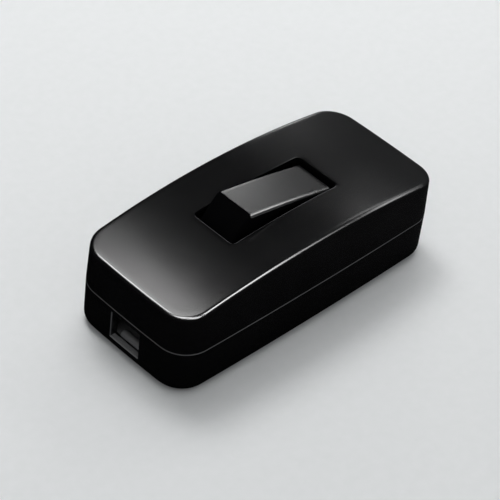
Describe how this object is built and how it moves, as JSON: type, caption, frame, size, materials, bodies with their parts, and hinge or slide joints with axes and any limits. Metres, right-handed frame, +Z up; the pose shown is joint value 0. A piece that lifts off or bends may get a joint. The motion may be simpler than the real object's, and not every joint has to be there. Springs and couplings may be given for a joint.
{
  "type": "inline cord switch",
  "caption": "Inline cord switch: a two-part moulded case with an arched cover, a central rocker that drives see-saw contacts inside, and a cord window in each end.",
  "frame": {"origin": "middle of the flat underside of the base", "axes": "+X along the cord towards the end whose side of the rocker is pressed at rest, +Y across the case, +Z up through the rocker"},
  "size_m": [0.08, 0.0356, 0.0281],
  "materials": {
    "case_plastic": "moulded black, gloss",
    "rocker_plastic": "moulded black, satin gloss",
    "clamp_plastic": "moulded black, matt",
    "plunger_plastic": "moulded natural white, matt",
    "brass": "stamped and drilled brass",
    "contact_metal": "silver alloy contact rivet",
    "screw_steel": "zinc plated steel",
    "spring_steel": "drawn spring wire"
  },
  "bodies": {
    "housing": {"base_shell": "case_plastic", "cover_shell": "case_plastic", "pivot_terminal_left": "brass", "pivot_terminal_right": "brass", "fixed_terminal_left": "brass", "fixed_terminal_right": "brass", "fixed_contact_left": "contact_metal", "fixed_contact_right": "contact_metal", "terminal_screws": "screw_steel", "cord_clamp_near": "clamp_plastic", "cord_clamp_far": "clamp_plastic", "clamp_screws": "screw_steel", "case_screws": "screw_steel"},
    "rocker": {"rocker": "rocker_plastic", "plunger_spring_left": "spring_steel", "plunger_spring_right": "spring_steel"},
    "plunger_left": {"plunger_left": "plunger_plastic"},
    "plunger_right": {"plunger_right": "plunger_plastic"},
    "seesaw_left": {"seesaw_left": "brass", "moving_contact_left": "contact_metal"},
    "seesaw_right": {"seesaw_right": "brass", "moving_contact_right": "contact_metal"}
  },
  "joints": [
    {"name": "rocker_tilt", "type": "hinge", "parent": "housing", "child": "rocker", "pos_m": [0, 0, 0.0137], "axis": [0, -1, 0], "range_deg": [0, 23.4]},
    {"name": "seesaw_left_tilt", "type": "hinge", "parent": "housing", "child": "seesaw_left", "pos_m": [0, 0.0028, 0.0066], "axis": [0, -1, 0], "range_deg": [-20, 0]},
    {"name": "seesaw_right_tilt", "type": "hinge", "parent": "housing", "child": "seesaw_right", "pos_m": [0, -0.0028, 0.0066], "axis": [0, -1, 0], "range_deg": [-20, 0]},
    {"name": "plunger_left_slide", "type": "slide", "parent": "rocker", "child": "plunger_left", "axis": [0.2028, 0, 0.9792], "range_m": [0, 0.0006], "stiffness_N_per_m": 400, "springref_m": -0.001, "deforming": ["plunger_spring_left"]},
    {"name": "plunger_right_slide", "type": "slide", "parent": "rocker", "child": "plunger_right", "axis": [0.2028, 0, 0.9792], "range_m": [0, 0.0006], "stiffness_N_per_m": 400, "springref_m": -0.001, "deforming": ["plunger_spring_right"]}
  ],
  "couplings": [
    {"joint": "seesaw_left_tilt", "follows": "rocker_tilt", "ratio": -0.8547},
    {"joint": "seesaw_right_tilt", "follows": "rocker_tilt", "ratio": -0.8547}
  ]
}
